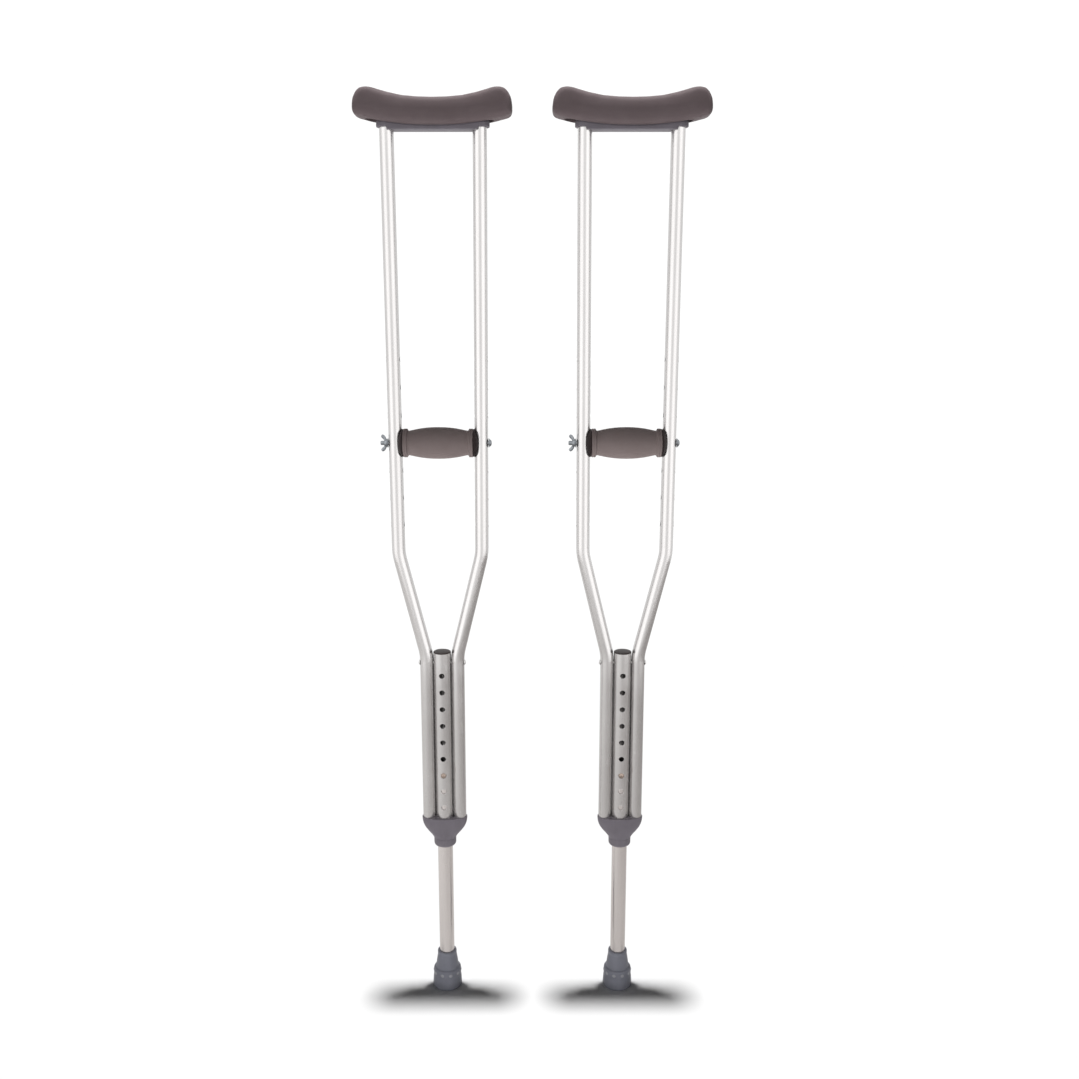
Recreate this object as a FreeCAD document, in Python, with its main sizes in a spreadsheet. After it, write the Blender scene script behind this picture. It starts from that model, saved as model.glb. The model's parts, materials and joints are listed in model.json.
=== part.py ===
import FreeCAD, Part
import ast
import math
import operator
import os
import re
import Sketcher

# A pair of push-button underarm crutches. Millimetres, +Z up, floor at Z = 0, front towards -Y.

document = FreeCAD.newDocument("UnderarmCrutches")

# driving sizes
sizeTable = [
    # the pair
    ("pairSpacing", 260, "between the two crutches' centre lines"),
    # tubes
    ("wall", 1.2, "aluminium tube wall"),
    ("uprightRadius", 9.525, "3/4 inch upright"),
    ("centreRadius", 12.7, "1 inch centre tube"),
    ("legRadius", 11.1, "7/8 inch leg tube"),
    ("bundleX", 22.3, "upright's centre line beside the centre tube"),
    ("uprightBottom", 268.8, "upright's end in the collar"),
    ("lowerBend", 527, "height where the uprights leave the centre tube"),
    ("upperBend", 675, "height where the uprights turn up again"),
    ("upperBendX", 58.7, "upright's centre line at the upper bend"),
    ("uprightTop", 1263, "upright's end in the pad base"),
    ("uprightTopX", 61.25, "upright's centre line at the top"),
    ("bendRadius", 75, "centre line radius of both bends"),
    ("centreBottom", 240, "centre tube's end in the collar"),
    ("centreTop", 530, "centre tube's open top"),
    # length adjustment
    ("buttonHeight", 345.6, "snap button in the seventh hole"),
    ("lengthPitch", 25.4, "between length holes"),
    ("lengthHoles", 9, "count of length holes"),
    ("holesBelow", 2, "length holes below the button"),
    ("buttonHoleRadius", 4.15, "length hole"),
    ("legBottom", 9.8, "leg tube's end in the tip"),
    ("legTopAboveButton", 11, "leg tube above its button hole"),
    # rivet and plug
    ("rivetHeight", 515, "cross rivet's height"),
    ("rivetRadius", 2.35, "cross rivet's shank"),
    ("plugDepth", 9.5, "plug's skirt in the tube"),
    # grip
    ("gripHeight", 832, "grip's centre line"),
    ("gripPitch", 38.1, "between grip holes"),
    ("gripHoles", 7, "count of grip holes"),
    ("gripHolesBelow", 3, "grip holes below the grip"),
    ("gripUprightX", 59.385, "upright's centre line at the grip"),
    ("boltRadius", 3.0, "grip bolt's shank"),
    ("boltHoleRadius", 3.4, "grip holes in the uprights"),
    ("sleeveEnd", 48.3, "sleeve's end face from the middle"),
    ("sleeveBore", 13.2, "sleeve's inner radius"),
    ("barrelRadius", 21.9, "sleeve at its middle"),
    ("neckRadius", 17.1, "sleeve beside its flange"),
    ("flangeRadius", 19.9, "sleeve's end flange"),
    ("saddleRadius", 19.2, "saddle's rim"),
    ("washerInner", 69.7, "washer's inner face from the middle"),
    ("washerThick", 0.9, "washer"),
    ("washerRadius", 6.2, "washer's rim"),
    # pad and base
    ("padHalf", 105, "half of the pad's length"),
    ("padDepth", 42, "pad, front to back"),
    ("padUnder", 1246.5, "pad's underside at the middle"),
    ("padUnderEnd", 1259, "pad's underside near its ends"),
    ("padDip", 1282, "pad's saddle"),
    ("padHorn", 1295.3, "pad's horns"),
    ("baseDepth", 26, "pad base, front to back"),
    ("baseHalf", 74.4, "half of the pad base's length"),
    ("baseBottom", 1242, "apron's lower edge"),
    ("lugBottom", 1246, "end lugs' lower edge"),
    ("insertTop", 1268, "top of the insert inside the pad"),
    ("insertRadius", 12, "insert's end radius"),
    ("screwHeight", 1258, "base screws"),
    ("screwSunk", 2.1, "screw heads' seat below the insert's side"),
    # collar and tip
    ("collarTop", 277, "collar's rim"),
    ("collarBottom", 232, "collar's lower end"),
    ("collarCup", 244, "top of the collar's round cup"),
    ("cupRadius", 16.5, "collar's round cup"),
    ("tipHeight", 58, "tip"),
    ("tipStep", 37, "tip's step"),
    ("tipFloor", 8, "rubber under the washer"),
]

sheet = document.addObject("Spreadsheet::Sheet", "Sizes")
for row, (alias, value, meaning) in enumerate(sizeTable, start=1):
    sheet.set(f"A{row}", meaning)
    sheet.set(f"B{row}", str(value))
    sheet.setAlias(f"B{row}", alias)
document.recompute()
sizes = {alias: float(value) for alias, value, meaning in sizeTable}
operations = {
    ast.Add: operator.add,
    ast.Sub: operator.sub,
    ast.Mult: operator.mul,
    ast.Div: operator.truediv,
    ast.Pow: operator.pow,
}


# helpers
def bound(text):
    """An expression in which the sheet's sizes are named in full."""
    return re.sub(
        r"[A-Za-z_]\w*",
        lambda found: f"Sizes.{found[0]}" if found[0] in sizes else found[0],
        str(text),
    )


def worked(item):
    if isinstance(item, ast.BinOp):
        return operations[type(item.op)](worked(item.left), worked(item.right))
    if isinstance(item, ast.UnaryOp):
        return -worked(item.operand)
    if isinstance(item, ast.Name):
        return sizes[item.id]
    return float(item.value)


def number(text):
    """What a size expression comes to."""
    return worked(ast.parse(str(text).replace("^", "**")).body[0].value)


def place(item, x="0", y="0", z="0"):
    for axis, text in (("x", x), ("y", y), ("z", z)):
        item.setExpression(f"Placement.Base.{axis}", bound(text))


def newBody(label, x="0", z="0"):
    body = document.addObject("PartDesign::Body", label)
    body.Label = label
    place(body, x=x, z=z)
    return body


def newSketch(body, name, role, offset="0"):
    """A sketch on one of the body's origin planes, moved along the plane's normal."""
    sketch = body.newObject("Sketcher::SketchObject", name)
    plane = [item for item in body.Origin.OriginFeatures if item.Role == role][0]
    sketch.AttachmentSupport = [(plane, "")]
    sketch.MapMode = "FlatFace"
    if str(offset) != "0":
        sketch.setExpression("AttachmentOffset.Base.z", bound(offset))
    return sketch


def hold(sketch, kind, *items, text):
    index = sketch.addConstraint(Sketcher.Constraint(kind, *items, number(text)))
    sketch.setExpression(f"Constraints[{index}]", bound(text))


def pin(sketch, geometry, end, x, y):
    """Fixes one point of a geometry at sizes from the sheet."""
    for kind, text in (("DistanceX", x), ("DistanceY", y)):
        if abs(number(text)) < 1e-9:
            line = -2 if kind == "DistanceX" else -1
            sketch.addConstraint(Sketcher.Constraint("PointOnObject", geometry, end, line))
        else:
            hold(sketch, kind, -1, 1, geometry, end, text=text)


def addArc(sketch, start, via, end):
    """Adds an arc, which always runs anticlockwise, and says whether it starts at the given end."""
    through = Part.Arc(start, via, end).toShape().Curve
    middle = through.Center

    def angle(point):
        return math.atan2(point.y - middle.y, point.x - middle.x)

    sweep = (angle(end) - angle(start)) % (2 * math.pi)
    turned = (angle(via) - angle(start)) % (2 * math.pi) > sweep
    first, last = (end, start) if turned else (start, end)
    span = (angle(last) - angle(first)) % (2 * math.pi)
    whole = Part.Circle(middle, FreeCAD.Vector(0, 0, 1), through.Radius)
    arc = Part.ArcOfCircle(whole, angle(first), angle(first) + span)
    return sketch.addGeometry(arc, False), turned


def loop(sketch, corners):
    """A closed outline. A corner is (x, y), or (x, y, viaX, viaY) where an arc follows it."""
    points = [FreeCAD.Vector(number(c[0]), number(c[1]), 0) for c in corners]
    edges = []
    ends = []
    for n, corner in enumerate(corners):
        start = points[n]
        end = points[(n + 1) % len(points)]
        if len(corner) == 2:
            edges.append(sketch.addGeometry(Part.LineSegment(start, end), False))
            ends.append((1, 2))
            continue
        via = FreeCAD.Vector(number(corner[2]), number(corner[3]), 0)
        arc, turned = addArc(sketch, start, via, end)
        mark = sketch.addGeometry(Part.Point(via), True)
        pin(sketch, mark, 1, corner[2], corner[3])
        sketch.addConstraint(Sketcher.Constraint("PointOnObject", mark, 1, arc))
        edges.append(arc)
        ends.append((2, 1) if turned else (1, 2))
    for n, edge in enumerate(edges):
        following = (n + 1) % len(edges)
        pin(sketch, edge, ends[n][0], corners[n][0], corners[n][1])
        sketch.addConstraint(
            Sketcher.Constraint("Coincident", edge, ends[n][1], edges[following], ends[following][0])
        )


def circle(sketch, x, y, radius):
    middle = FreeCAD.Vector(number(x), number(y), 0)
    ring = sketch.addGeometry(Part.Circle(middle, FreeCAD.Vector(0, 0, 1), number(radius)), False)
    hold(sketch, "Radius", ring, text=radius)
    pin(sketch, ring, 3, x, y)


def ellipse(sketch, halfWidth, halfDepth):
    """An ellipse round the sketch's origin, its long way along the sketch's X."""
    wide = number(halfWidth)
    deep = number(halfDepth)
    origin = FreeCAD.Vector(0, 0, 0)
    curve = sketch.addGeometry(
        Part.Ellipse(FreeCAD.Vector(wide, 0, 0), FreeCAD.Vector(0, deep, 0), origin), False
    )
    sketch.exposeInternalGeometry(curve)
    sketch.addConstraint(Sketcher.Constraint("Coincident", curve, 3, -1, 1))
    for axis, kind, reach in ((curve + 1, "DistanceX", halfWidth), (curve + 2, "DistanceY", halfDepth)):
        first = sketch.getPoint(axis, 1)
        end = 1 if first.x + first.y > 0 else 2
        hold(sketch, kind, -1, 1, axis, end, text=reach)
        if kind == "DistanceX":
            sketch.addConstraint(Sketcher.Constraint("PointOnObject", axis, end, -1))


def stadium(sketch, centre, radius):
    """Two half circles round (-centre, 0) and (centre, 0), joined by straight lines."""
    loop(sketch, [
        (f"{centre}", f"-({radius})", f"{centre} + ({radius})", "0"),
        (f"{centre}", f"{radius}"),
        (f"-({centre})", f"{radius}", f"-({centre}) - ({radius})", "0"),
        (f"-({centre})", f"-({radius})"),
    ])


def pad(body, sketch, length, both=False):
    feature = body.newObject("PartDesign::Pad", "Pad")
    feature.Profile = sketch
    feature.setExpression("Length", bound(length))
    if both:
        feature.SideType = "Symmetric"
    finish(body, sketch)
    return feature


def pocket(body, sketch, length=None, both=False, turned=False):
    """Cuts along -normal of the sketch, through everything where no length is given."""
    feature = body.newObject("PartDesign::Pocket", "Pocket")
    feature.Profile = sketch
    if length is None:
        feature.Type = "ThroughAll"
    else:
        feature.setExpression("Length", bound(length))
    if both:
        feature.SideType = "Symmetric"
    feature.Reversed = turned
    finish(body, sketch)
    return feature


def revolve(body, sketch, axis):
    feature = body.newObject("PartDesign::Revolution", "Revolution")
    feature.Profile = sketch
    feature.ReferenceAxis = (sketch, [axis])
    feature.Angle = 360
    finish(body, sketch)
    return feature


def finish(body, sketch):
    sketch.Visibility = False
    document.recompute()


def along(body, feature, sketch, axis, count, pitch):
    """A row of copies of one cut."""
    rowOf = body.newObject("PartDesign::LinearPattern", "Row")
    rowOf.Originals = [feature]
    rowOf.Direction = (sketch, [axis])
    rowOf.setExpression("Length", bound(f"({count} - 1) * {pitch}"))
    rowOf.setExpression("Occurrences", bound(count))
    body.Tip = rowOf
    document.recompute()
    return rowOf


def soften(body, radius, wanted, kind="PartDesign::Fillet"):
    """Rounds the edges of the body that the test picks."""
    before = body.Tip
    names = [
        f"Edge{n}" for n, edge in enumerate(before.Shape.Edges, start=1) if wanted(edge)
    ]
    assert names, f"no edge to round on {body.Label}"
    feature = body.newObject(kind, "Rounding")
    feature.Base = (before, names)
    feature.setExpression("Radius" if kind.endswith("Fillet") else "Size", bound(radius))
    document.recompute()
    return feature


def middleOf(edge):
    return edge.valueAt((edge.FirstParameter + edge.LastParameter) / 2)


def isAlong(edge, axis):
    if len(edge.Vertexes) < 2:
        return False
    way = edge.Vertexes[1].Point - edge.Vertexes[0].Point
    return way.Length > 1e-6 and abs(way.normalize().dot(axis)) > 0.999


# tubes
def straightTube(label, x, radius, bottom, top):
    body = newBody(label, x=x)
    ring = newSketch(body, "Ring", "XY_Plane", bottom)
    circle(ring, "0", "0", radius)
    circle(ring, "0", "0", f"{radius} - wall")
    pad(body, ring, f"{top} - ({bottom})")
    return body


def crossHoles(body, role, radius, bottom, count=None, pitch=None):
    """A hole right through both walls, or a row of them going up."""
    sketch = newSketch(body, "HoleMark", role)
    circle(sketch, "0", bottom, radius)
    cut = pocket(body, sketch, both=True)
    if count:
        along(body, cut, sketch, "V_Axis", count, pitch)


def upright(label, x, side, vent):
    """A bent tube: up beside the centre tube, out, and up again, leaning out slightly."""
    body = newBody(label, x=x)
    spine = newSketch(body, "Spine", "XZ_Plane")
    path = [
        (f"{side} * bundleX", "uprightBottom"),
        (f"{side} * bundleX", "lowerBend"),
        (f"{side} * upperBendX", "upperBend"),
        (f"{side} * uprightTopX", "uprightTop"),
    ]
    points = [FreeCAD.Vector(number(px), number(py), 0) for px, py in path]
    radius = number("bendRadius")
    guides = []
    for n in range(3):
        guide = spine.addGeometry(Part.LineSegment(points[n], points[n + 1]), True)
        guides.append(guide)
        pin(spine, guide, 1, *path[n])
        if n:
            spine.addConstraint(Sketcher.Constraint("Coincident", guides[n - 1], 2, guide, 1))
    pin(spine, guides[2], 2, *path[3])
    runs = []
    start = points[0]
    for n in (1, 2):
        before = (points[n] - points[n - 1]).normalize()
        after = (points[n + 1] - points[n]).normalize()
        turn = before.getAngle(after)
        reach = radius * math.tan(turn / 2)
        enter = points[n] - before * reach
        leave = points[n] + after * reach
        half = (after - before).normalize()
        centre = points[n] + half * (radius / math.cos(turn / 2))
        via = centre - half * radius
        runs.append(("line", start, enter, enter))
        runs.append(("arc", enter, via, leave))
        start = leave
    runs.append(("line", start, points[3], points[3]))
    made = []
    for kind, first, via, last in runs:
        if kind == "line":
            index, turned = spine.addGeometry(Part.LineSegment(first, last), False), False
        else:
            index, turned = addArc(spine, first, via, last)
        made.append((index, 2, 1) if turned else (index, 1, 2))
    for (one, oneStart, oneEnd), (two, twoStart, twoEnd) in zip(made, made[1:]):
        spine.addConstraint(Sketcher.Constraint("Tangent", one, oneEnd, two, twoStart))
    for n in (1, 3):
        hold(spine, "Radius", made[n][0], text="bendRadius")
    spine.addConstraint(Sketcher.Constraint("Coincident", made[0][0], made[0][1], guides[0], 1))
    spine.addConstraint(Sketcher.Constraint("Coincident", made[4][0], made[4][2], guides[2], 2))
    spine.addConstraint(Sketcher.Constraint("Parallel", made[0][0], guides[0]))
    spine.addConstraint(Sketcher.Constraint("PointOnObject", made[2][0], made[2][1], guides[1]))
    spine.addConstraint(Sketcher.Constraint("PointOnObject", made[2][0], made[2][2], guides[1]))
    spine.addConstraint(Sketcher.Constraint("PointOnObject", made[4][0], made[4][1], guides[2]))
    ring = newSketch(body, "Ring", "XY_Plane", "uprightBottom")
    circle(ring, f"{side} * bundleX", "0", "uprightRadius")
    circle(ring, f"{side} * bundleX", "0", "uprightRadius - wall")
    document.recompute()
    pipe = body.newObject("PartDesign::AdditivePipe", "Pipe")
    pipe.Profile = ring
    pipe.Spine = (spine, [])
    finish(body, ring)
    spine.Visibility = False
    crossHoles(body, "YZ_Plane", "rivetRadius + 0.08", "rivetHeight")
    crossHoles(
        body, "YZ_Plane", "boltHoleRadius",
        "gripHeight - gripHolesBelow * gripPitch", "gripHoles", "gripPitch",
    )
    screwHole = newSketch(body, "ScrewHole", "XZ_Plane")
    circle(screwHole, f"{side} * uprightTopX", "screwHeight", "2.1")
    pocket(body, screwHole)
    if vent:
        ventHole = newSketch(body, "VentHole", "YZ_Plane", f"{side} * uprightTopX")
        circle(ventHole, "0", "1136", "2.2")
        pocket(body, ventHole, turned=side > 0)
    return body


# pad and base
def underarmPad(label, x):
    """A cushion that dips in the middle and rises to a horn at each end."""
    body = newBody(label, x=x)
    side = newSketch(body, "SideView", "XZ_Plane")
    loop(side, [
        ("padHalf - 5", "padUnderEnd", "0", "padUnder"),
        ("-padHalf + 5", "padUnderEnd"),
        ("-padHalf + 0.6", "padUnderEnd + 3.5"),
        ("-padHalf + 0.6", "padHorn - 12"),
        ("-padHalf + 17", "padHorn", "0", "padDip"),
        ("padHalf - 17", "padHorn"),
        ("padHalf - 0.6", "padHorn - 12"),
        ("padHalf - 0.6", "padUnderEnd + 3.5"),
    ])
    pad(body, side, "padDepth", both=True)
    across = FreeCAD.Vector(0, 1, 0)
    soften(body, "9", lambda e: isAlong(e, across) and middleOf(e).z > 1281)
    soften(body, "7", lambda e: abs(abs(middleOf(e).y) - number("padDepth") / 2) < 1e-4)
    cavity = newSketch(body, "Cavity", "XY_Plane", "insertTop + 0.3")
    stadium(cavity, "uprightTopX", "insertRadius + 0.3")
    pocket(body, cavity)
    return body


def padBase(label, x):
    """The moulded crosspiece: an apron below the pad, and an insert with two sockets inside it."""
    body = newBody(label, x=x)
    front = newSketch(body, "FrontView", "XZ_Plane")
    rise = "(padUnderEnd - padUnder) * (baseHalf / (padHalf - 5)) ^ 2"
    rim = f"padUnder - 0.3 + {rise}"
    loop(front, [
        ("-baseHalf", "lugBottom"),
        ("-uprightTopX + 1", "lugBottom"),
        ("-uprightTopX + 2.5", "baseBottom"),
        ("uprightTopX - 2.5", "baseBottom"),
        ("uprightTopX - 1", "lugBottom"),
        ("baseHalf", "lugBottom"),
        ("baseHalf", rim, "0", "padUnder - 0.3"),
        ("-baseHalf", rim),
    ])
    pad(body, front, "baseDepth", both=True)
    up = FreeCAD.Vector(0, 0, 1)
    soften(body, "baseDepth / 2 - 0.1", lambda e: isAlong(e, up) and abs(middleOf(e).x) > 70)
    insert = newSketch(body, "Insert", "XY_Plane", "padUnder - 2")
    stadium(insert, "uprightTopX", "insertRadius")
    pad(body, insert, "insertTop - padUnder + 2")
    sockets = newSketch(body, "Sockets", "XY_Plane", "uprightTop + 0.3")
    for side in (-1, 1):
        circle(sockets, f"{side} * uprightTopX", "0", "uprightRadius + 0.12")
    pocket(body, sockets)
    screwHoles = newSketch(body, "ScrewHoles", "XZ_Plane")
    heads = newSketch(body, "ScrewHeads", "XZ_Plane", "-(insertRadius - screwSunk)")
    for side in (-1, 1):
        circle(screwHoles, f"{side} * uprightTopX", "screwHeight", "2.1")
        circle(heads, f"{side} * uprightTopX", "screwHeight", "3.9")
    pocket(body, screwHoles)
    pocket(body, heads)
    return body


def rectangle(sketch, x0, y0, x1, y1):
    loop(sketch, [(x0, y0), (x1, y0), (x1, y1), (x0, y1)])


def baseScrews(label, x):
    """Two self-tapping screws driven in from behind, one in each socket."""
    body = newBody(label, x=x)
    body.AllowCompound = True
    for side in (-1, 1):
        shank = newSketch(body, "Shank", "XZ_Plane", "-4.5")
        circle(shank, f"{side} * uprightTopX", "screwHeight", "2")
        stem = pad(body, shank, "insertRadius - screwSunk - 4.5")
        stem.Reversed = True
        head = newSketch(body, "Head", "XZ_Plane", "-(insertRadius - screwSunk)")
        circle(head, f"{side} * uprightTopX", "screwHeight", "3.6")
        cap = pad(body, head, "1.5")
        cap.Reversed = True
        document.recompute()
    return body


# joint between the tubes
def centrePlug(label, x):
    body = newBody(label, x=x, z="centreTop")
    half = newSketch(body, "HalfView", "XZ_Plane")
    skirt = "centreRadius - wall - 0.05"
    loop(half, [
        ("0", "-1.5"),
        (f"{skirt} - 1.6", "-1.5"),
        (f"{skirt} - 1.6", "-plugDepth"),
        (skirt, "-plugDepth"),
        (skirt, "0.05"),
        ("centreRadius - 0.1", "0.05"),
        ("centreRadius - 0.1", "0.9"),
        ("centreRadius - 1.3", "1.7", "7", "2.25"),
        ("2", "2.5"),
        ("0", "2.5"),
    ])
    revolve(body, half, "V_Axis")
    return body


def crossRivet(label, x):
    body = newBody(label, x=x, z="rivetHeight")
    half = newSketch(body, "HalfView", "XZ_Plane")
    seat = "bundleX + uprightRadius + 0.05"
    loop(half, [
        (f"-({seat}) - 2", "0"),
        (f"-({seat}) - 2", "1", f"-({seat}) - 1.4", "2.8"),
        (f"-({seat})", "4"),
        (f"-({seat})", "rivetRadius"),
        (seat, "rivetRadius"),
        (seat, "4", f"{seat} + 1.4", "2.8"),
        (f"{seat} + 2", "1"),
        (f"{seat} + 2", "0"),
    ])
    revolve(body, half, "H_Axis")
    return body


def collar(label, x):
    """A funnel: an oval rim round the three tubes, narrowing to a round cup that guides the leg."""
    body = newBody(label, x=x)
    sections = []
    for height, wide, deep in (
        ("collarTop", "33.3", "15.7"),
        ("collarTop - 8", "32.5", "15.7"),
        ("collarTop - 17", "28.7", "15.9"),
        ("collarTop - 25", "22", "16.2"),
        ("collarCup - 1", "cupRadius - 0.4", "cupRadius - 0.45"),
    ):
        section = newSketch(body, "Section", "XY_Plane", height)
        ellipse(section, wide, deep)
        section.Visibility = False
        sections.append(section)
    document.recompute()
    funnel = body.newObject("PartDesign::AdditiveLoft", "Funnel")
    funnel.Profile = sections[0]
    funnel.Sections = sections[1:]
    document.recompute()
    cup = newSketch(body, "Cup", "XZ_Plane")
    loop(cup, [
        ("0", "collarBottom"),
        ("12.4", "collarBottom", "15.4", "collarBottom + 1.6"),
        ("cupRadius - 0.3", "collarBottom + 5"),
        ("cupRadius", "collarCup"),
        ("0", "collarCup"),
    ])
    revolve(body, cup, "V_Axis")
    seat = newSketch(body, "Seat", "XY_Plane", "collarTop")
    circle(seat, "0", "0", "centreRadius + 0.06")
    pocket(body, seat, "collarTop - centreBottom + 0.1")
    guide = newSketch(body, "Guide", "XY_Plane", "collarTop")
    circle(guide, "0", "0", "legRadius + 0.4")
    pocket(body, guide)
    sockets = newSketch(body, "Sockets", "XY_Plane", "collarTop")
    for side in (-1, 1):
        circle(sockets, f"{side} * bundleX", "0", "uprightRadius + 0.06")
    pocket(body, sockets, "collarTop - uprightBottom + 0.2")
    return body


# leg
def snapSpring(label, x):
    """A bent strip whose two arms press the buttons outwards."""
    body = newBody(label, x=x, z="buttonHeight")
    side = newSketch(body, "SideView", "YZ_Plane")
    loop(side, [
        ("7", "7.5"),
        ("6.2", "7.5"),
        ("6.2", "-38", "0", "-44.2"),
        ("-6.2", "-38"),
        ("-6.2", "7.5"),
        ("-7", "7.5"),
        ("-7", "-38", "0", "-45"),
        ("7", "-38"),
    ])
    pad(body, side, "9", both=True)
    crossHoles(body, "XZ_Plane", "2", "0")
    return body


def snapButton(label, x, side):
    """A domed pin with a flange behind the leg's wall and a stub in the spring."""
    body = newBody(label, x=x, z="buttonHeight")
    half = newSketch(body, "HalfView", "YZ_Plane")
    loop(half, [
        (f"{side} * 5.7", "0"),
        (f"{side} * 5.7", "1.8"),
        (f"{side} * 7.1", "1.8"),
        (f"{side} * 7.1", "4.7"),
        (f"{side} * 8.1", "4.7"),
        (f"{side} * 8.1", "3.9"),
        (f"{side} * 14.2", "3.9", f"{side} * 15.5", "2.9"),
        (f"{side} * 16.1", "1"),
        (f"{side} * 16.1", "0"),
    ])
    revolve(body, half, "H_Axis")
    return body


def tip(label, x):
    """A rubber foot with a rolled rim, a step and a ringed tread."""
    body = newBody(label, x=x)
    half = newSketch(body, "HalfView", "XZ_Plane")
    bore = "legRadius + 0.05"
    loop(half, [
        ("0", "0"),
        ("7", "0"),
        ("7.6", "1.8"),
        ("9.4", "1.8"),
        ("10", "0"),
        ("13", "0"),
        ("13.6", "1.8"),
        ("15.4", "1.8"),
        ("16", "0"),
        ("20.6", "0", "21.5", "0.5"),
        ("21.9", "1.6"),
        ("21.2", "15"),
        ("20.7", "16"),
        ("20.5", "19.5"),
        ("20.9", "20.5"),
        ("20.4", "tipStep - 1.5"),
        ("19.6", "tipStep - 0.3"),
        ("18.3", "tipStep + 0.6"),
        ("17", "tipStep + 7"),
        ("14", "tipHeight - 6"),
        ("14.2", "tipHeight - 4.5"),
        ("14.1", "tipHeight - 1.2", "13.6", "tipHeight - 0.2"),
        ("12.6", "tipHeight"),
        (f"{bore} + 0.6", "tipHeight"),
        (bore, "tipHeight - 1"),
        (bore, "tipFloor"),
        ("0", "tipFloor"),
    ])
    revolve(body, half, "V_Axis")
    return body


# hand grip
def gripSleeve(label, x):
    """A foam barrel with a neck and a grooved flange at each end."""
    body = newBody(label, x=x, z="gripHeight")
    half = newSketch(body, "HalfView", "XZ_Plane")
    right = [
        ("39.8", "neckRadius"),
        ("41.2", "neckRadius"),
        ("42.4", "flangeRadius"),
        ("44.6", "flangeRadius"),
        ("45.1", "flangeRadius - 0.7"),
        ("45.6", "flangeRadius"),
        ("sleeveEnd - 0.8", "flangeRadius"),
        ("sleeveEnd", "flangeRadius - 0.8"),
        ("sleeveEnd", "sleeveBore"),
    ]
    left = [(f"-({px})", py) for px, py in reversed(right)]
    left[-1] = (left[-1][0], left[-1][1], "0", "barrelRadius")
    loop(half, left + right)
    revolve(body, half, "H_Axis")
    return body


def gripCore(label, x):
    body = newBody(label, x=x, z="gripHeight")
    ring = newSketch(body, "Ring", "YZ_Plane")
    circle(ring, "0", "0", "sleeveBore - 0.1")
    circle(ring, "0", "0", "boltRadius + 0.4")
    pad(body, ring, "2 * sleeveEnd - 0.2", both=True)
    return body


def gripSaddle(label, x, side):
    """A domed end cap with a groove that hugs the upright."""
    body = newBody(label, x=x, z="gripHeight")
    half = newSketch(body, "HalfView", "XZ_Plane")
    loop(half, [
        (f"{side} * (sleeveEnd + 0.1)", "0"),
        (f"{side} * (sleeveEnd + 0.1)", "saddleRadius"),
        (f"{side} * (sleeveEnd + 1.6)", "saddleRadius", f"{side} * (sleeveEnd + 6.8)", "10"),
        (f"{side} * (sleeveEnd + 8.3)", "1"),
        (f"{side} * (sleeveEnd + 8.3)", "0"),
    ])
    revolve(body, half, "H_Axis")
    groove = newSketch(body, "Groove", "XY_Plane")
    circle(groove, f"{side} * gripUprightX", "0", "uprightRadius + 0.6")
    pocket(body, groove, both=True)
    hole = newSketch(body, "BoltHole", "YZ_Plane")
    circle(hole, "0", "0", "boltRadius + 0.3")
    pocket(body, hole, both=True)
    return body


def gripBolt(label, x):
    """A long round-headed bolt from the head side to past the wing nut."""
    body = newBody(label, x=x, z="gripHeight")
    half = newSketch(body, "HalfView", "XZ_Plane")
    seat = "washerInner + washerThick + 0.05"
    loop(half, [
        ("-(washerInner) - 10.3", "0"),
        ("-(washerInner) - 10.3", "boltRadius - 0.7"),
        ("-(washerInner) - 9.6", "boltRadius"),
        (seat, "boltRadius"),
        (seat, "4.9"),
        (f"{seat} + 0.8", "4.9", f"{seat} + 2.4", "3.5"),
        (f"{seat} + 3.1", "1"),
        (f"{seat} + 3.1", "0"),
    ])
    revolve(body, half, "H_Axis")
    slot = newSketch(body, "Slot", "YZ_Plane", f"{seat} + 1.9")
    rectangle(slot, "-0.6", "-5.5", "0.6", "5.5")
    pocket(body, slot, turned=True)
    return body


def washer(label, x, z, role, start, inner, outer, thick):
    body = newBody(label, x=x, z=z)
    ring = newSketch(body, "Ring", role, start)
    circle(ring, "0", "0", outer)
    if inner != "0":
        circle(ring, "0", "0", inner)
    pad(body, ring, thick)
    return body


def wingNut(label, x):
    """A tapered hub with an upper and a lower wing that lean outwards."""
    body = newBody(label, x=x, z="gripHeight")
    half = newSketch(body, "HalfView", "XZ_Plane")
    seat = "-(washerInner) - washerThick - 0.05"
    bore = "boltRadius + 0.06"
    loop(half, [
        (seat, bore),
        (seat, "5.1"),
        (f"{seat} - 1.2", "5.1"),
        (f"{seat} - 6", "4.3"),
        (f"{seat} - 6", bore),
    ])
    revolve(body, half, "H_Axis")
    wings = newSketch(body, "Wings", "XZ_Plane")
    for up in (-1, 1):
        loop(wings, [
            (f"{seat} - 1.6", f"{up} * 4.4"),
            (f"{seat} - 3.6", f"{up} * 8.2"),
            (f"{seat} - 6.4", f"{up} * 11.2", f"{seat} - 9.4", f"{up} * 12.3"),
            (f"{seat} - 10.6", f"{up} * 9.4"),
            (f"{seat} - 7.6", f"{up} * 6.6"),
            (f"{seat} - 5.6", f"{up} * 3.9"),
        ])
    pad(body, wings, "2.8", both=True)
    clear = newSketch(body, "Thread", "YZ_Plane")
    circle(clear, "0", "0", bore)
    pocket(body, clear, both=True)
    return body


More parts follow.
